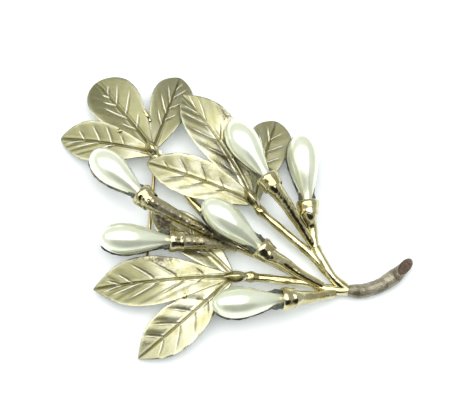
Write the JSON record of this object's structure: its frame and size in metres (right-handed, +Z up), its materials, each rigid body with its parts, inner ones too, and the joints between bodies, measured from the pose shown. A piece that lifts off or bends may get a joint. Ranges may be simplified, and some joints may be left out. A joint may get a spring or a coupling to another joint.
{
  "type": "brooch",
  "caption": "Leafy spray brooch with cupped teardrop pearls on a curved stem, and a hinged pin with a turning safety catch on its back.",
  "frame": {"origin": "middle of the outline, on the surface that the back rests on", "axes": "+Z up out of the face, +X along the spray towards the cut end of the stem, +Y across it towards the upper leaves"},
  "size_m": [0.0812, 0.0672, 0.0136],
  "materials": {
    "leaf_gold": "satin, grained along the leaf, with worn bright veins",
    "polished_gold": "polished cast gold plate, slightly lumpy",
    "bronze_stem": "brown patina, satin grain",
    "oxidised_tray": "dark oxidised plate",
    "cement": "dull grey set cement",
    "pearl": "lacquered imitation pearl, cream with a green cast",
    "pin_wire": "drawn gold-plated wire",
    "findings": "satin gold plate"
  },
  "bodies": {
    "root": {"main_stem": "bronze_stem", "right_branch": "polished_gold", "middle_branch": "polished_gold", "lower_branch": "polished_gold", "upper_branch": "polished_gold", "bud_cup_1": "polished_gold", "bud_cup_2": "polished_gold", "bud_cup_3": "polished_gold", "bud_cup_4": "polished_gold", "bud_cup_5": "polished_gold", "bud_cup_6": "polished_gold", "pearl_tray_1": "oxidised_tray", "pearl_tray_2": "oxidised_tray", "pearl_tray_3": "oxidised_tray", "pearl_tray_4": "oxidised_tray", "pearl_tray_5": "oxidised_tray", "pearl_tray_6": "oxidised_tray", "cement_1": "cement", "cement_2": "cement", "cement_3": "cement", "cement_4": "cement", "cement_5": "cement", "cement_6": "cement", "pearl_1": "pearl", "pearl_2": "pearl", "pearl_3": "pearl", "pearl_4": "pearl", "pearl_5": "pearl", "pearl_6": "pearl", "leaf_a1": "leaf_gold", "leaf_a2": "leaf_gold", "leaf_a3": "leaf_gold", "leaf_b1": "leaf_gold", "leaf_b2": "leaf_gold", "leaf_b3": "leaf_gold", "leaf_c1": "leaf_gold", "leaf_c2": "leaf_gold", "leaf_c3": "leaf_gold", "knot_a": "polished_gold", "knot_b": "polished_gold", "knot_c": "polished_gold", "leaf_tie_a12": "polished_gold", "leaf_tie_a23": "polished_gold", "leaf_tie_c12": "polished_gold", "hinge_bracket": "findings", "hinge_rivet": "pin_wire", "catch_housing": "findings"},
    "pin": {"pin_stem": "pin_wire"},
    "rotor": {"catch_rotor": "pin_wire"}
  },
  "joints": [
    {"name": "pin_hinge", "type": "hinge", "parent": "root", "child": "pin", "pos_m": [-0.01891, 0.01335, 0.0016], "axis": [0.9972, -0.0754, 0], "range_deg": [0, 120]},
    {"name": "catch_turn", "type": "hinge", "parent": "root", "child": "rotor", "pos_m": [-0.02099, -0.0142, 0.0016], "axis": [-0.0754, -0.9972, 0], "range_deg": [0, 130]}
  ]
}
